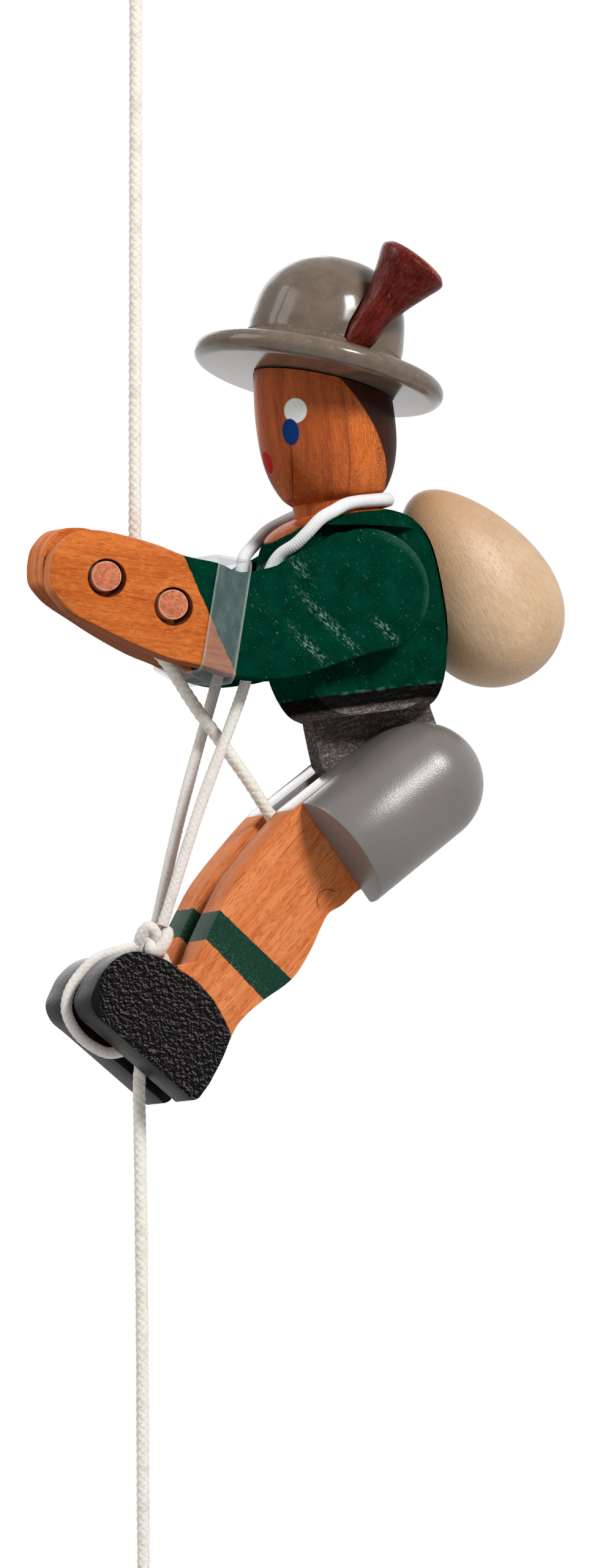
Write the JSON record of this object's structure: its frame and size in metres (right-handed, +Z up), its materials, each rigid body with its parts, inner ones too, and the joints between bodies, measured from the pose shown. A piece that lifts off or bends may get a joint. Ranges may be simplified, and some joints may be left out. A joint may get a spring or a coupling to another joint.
{
  "type": "climbing figure toy",
  "caption": "Wooden mountaineer that climbs a cord: swinging body and legs, hands gripping the cord between dowels, elastic to the toes, round backpack and bowler hat.",
  "frame": {"origin": "inner top of the cord's hanging loop, which holds the toy up", "axes": "+Z up along the cord, -X the way the figure faces, -Y the figure's left side"},
  "size_m": [0.093, 0.0424, 0.3113],
  "materials": {
    "waxed_beech": "waxed",
    "green_gloss_paint": "gloss paint",
    "grey_satin_paint": "satin paint",
    "hat_gloss_paint": "gloss paint",
    "oxblood_stain": "gloss stain",
    "pearl_lacquer": "pearl lacquer",
    "braided_cord": "braided",
    "white_elastic": "braided",
    "clear_rubber": "clear"
  },
  "bodies": {
    "cord": {"hanging_loop": "braided_cord", "loop_knot": "braided_cord", "cord_upper": "braided_cord", "cord_lower": "braided_cord", "pull_bead": "waxed_beech", "stopper_knot": "braided_cord"},
    "arms": {"arm_left": "green_gloss_paint", "arm_right": "green_gloss_paint", "hand_dowel_front": "waxed_beech", "hand_dowel_rear": "waxed_beech", "wrist_band": "clear_rubber", "shoulder_axle": "waxed_beech", "cord_through_hands": "braided_cord"},
    "torso": {"turned_body": "waxed_beech", "hat": "hat_gloss_paint", "hat_tuft": "oxblood_stain", "backpack": "pearl_lacquer", "backpack_peg": "waxed_beech", "neck_elastic": "white_elastic", "elastic_strand_left": "white_elastic", "elastic_strand_right": "white_elastic"},
    "legs": {"leg_left": "waxed_beech", "leg_right": "waxed_beech", "trouser_left": "grey_satin_paint", "trouser_right": "grey_satin_paint", "hip_axle": "waxed_beech", "knee_pin": "waxed_beech", "foot_pin": "waxed_beech", "elastic_knot": "white_elastic", "elastic_toe_loop": "white_elastic", "cord_through_legs": "braided_cord"}
  },
  "joints": [
    {"name": "climb", "type": "slide", "parent": "cord", "child": "arms", "axis": [0, 0, 1], "range_m": [0, 0.08], "deforming": ["cord_upper"]},
    {"name": "shoulder", "type": "hinge", "parent": "arms", "child": "torso", "pos_m": [0.0359, 0, -0.1275], "axis": [0, -1, 0], "range_deg": [-17.1, 1.9], "deforming": ["cord_through_hands"]},
    {"name": "hip", "type": "hinge", "parent": "torso", "child": "legs", "pos_m": [0.0466, 0, -0.1582], "axis": [0, -1, 0], "range_deg": [-3, 28], "stiffness_Nm_per_rad": 0.02, "deforming": ["cord_through_legs", "cord_lower", "elastic_strand_left", "elastic_strand_right"]}
  ],
  "couplings": [
    {"joint": "shoulder", "follows": "hip", "ratio": -0.607}
  ]
}
